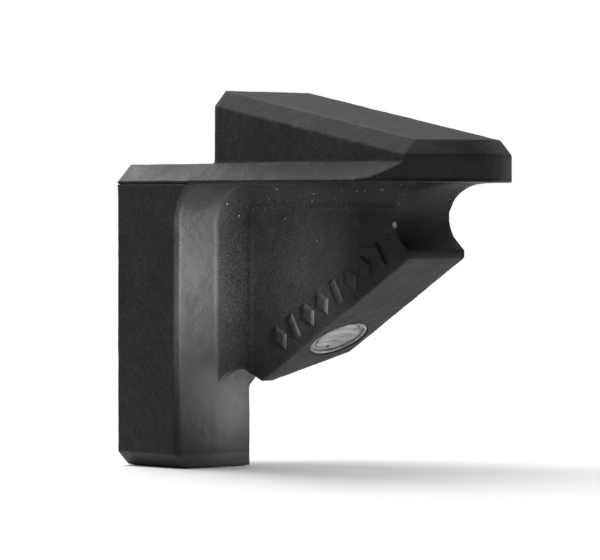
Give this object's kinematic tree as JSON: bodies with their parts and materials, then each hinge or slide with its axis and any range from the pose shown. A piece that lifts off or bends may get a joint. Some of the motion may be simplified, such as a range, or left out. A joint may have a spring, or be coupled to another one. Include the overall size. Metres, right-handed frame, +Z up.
{
  "type": "excavator bucket tooth",
  "caption": "Weld-on tooth shank for an excavator bucket: bevelled plate, wedge nose, leg, gusset block with a half-round pin seat and a sprung lock.",
  "frame": {"origin": "on the pin's axis, midway along the half-round seat", "axes": "+X towards the nose along the plate, +Y along the pin from the front face to the rear, +Z up"},
  "size_m": [0.1692, 0.072, 0.1494],
  "materials": {
    "cast_paint": "satin black paint on cast steel",
    "weld_paint": "satin black paint over weld fillets",
    "lock_steel": "machined steel, lightly oiled",
    "spring_steel": "bright spring steel",
    "lock_rubber": "matt black rubber"
  },
  "bodies": {
    "shank": {"top_plate": "cast_paint", "nose_wedge": "cast_paint", "leg_strap": "cast_paint", "shank_block": "cast_paint", "front_root_fillet": "weld_paint", "rear_root_fillet": "weld_paint", "front_corner_fillet": "weld_paint", "rear_corner_fillet": "weld_paint", "front_crown_fillet": "weld_paint", "rear_crown_fillet": "weld_paint", "lock_sleeve": "lock_steel", "lock_ring": "spring_steel", "lock_cushion": "lock_rubber"},
    "plunger": {"lock_plunger": "lock_steel"}
  },
  "joints": [
    {"name": "plunger_push", "type": "slide", "parent": "shank", "child": "plunger", "axis": [-0.5165, 0, 0.8563], "range_m": [0, 0.003], "stiffness_N_per_m": 8000, "deforming": ["lock_cushion"]}
  ]
}
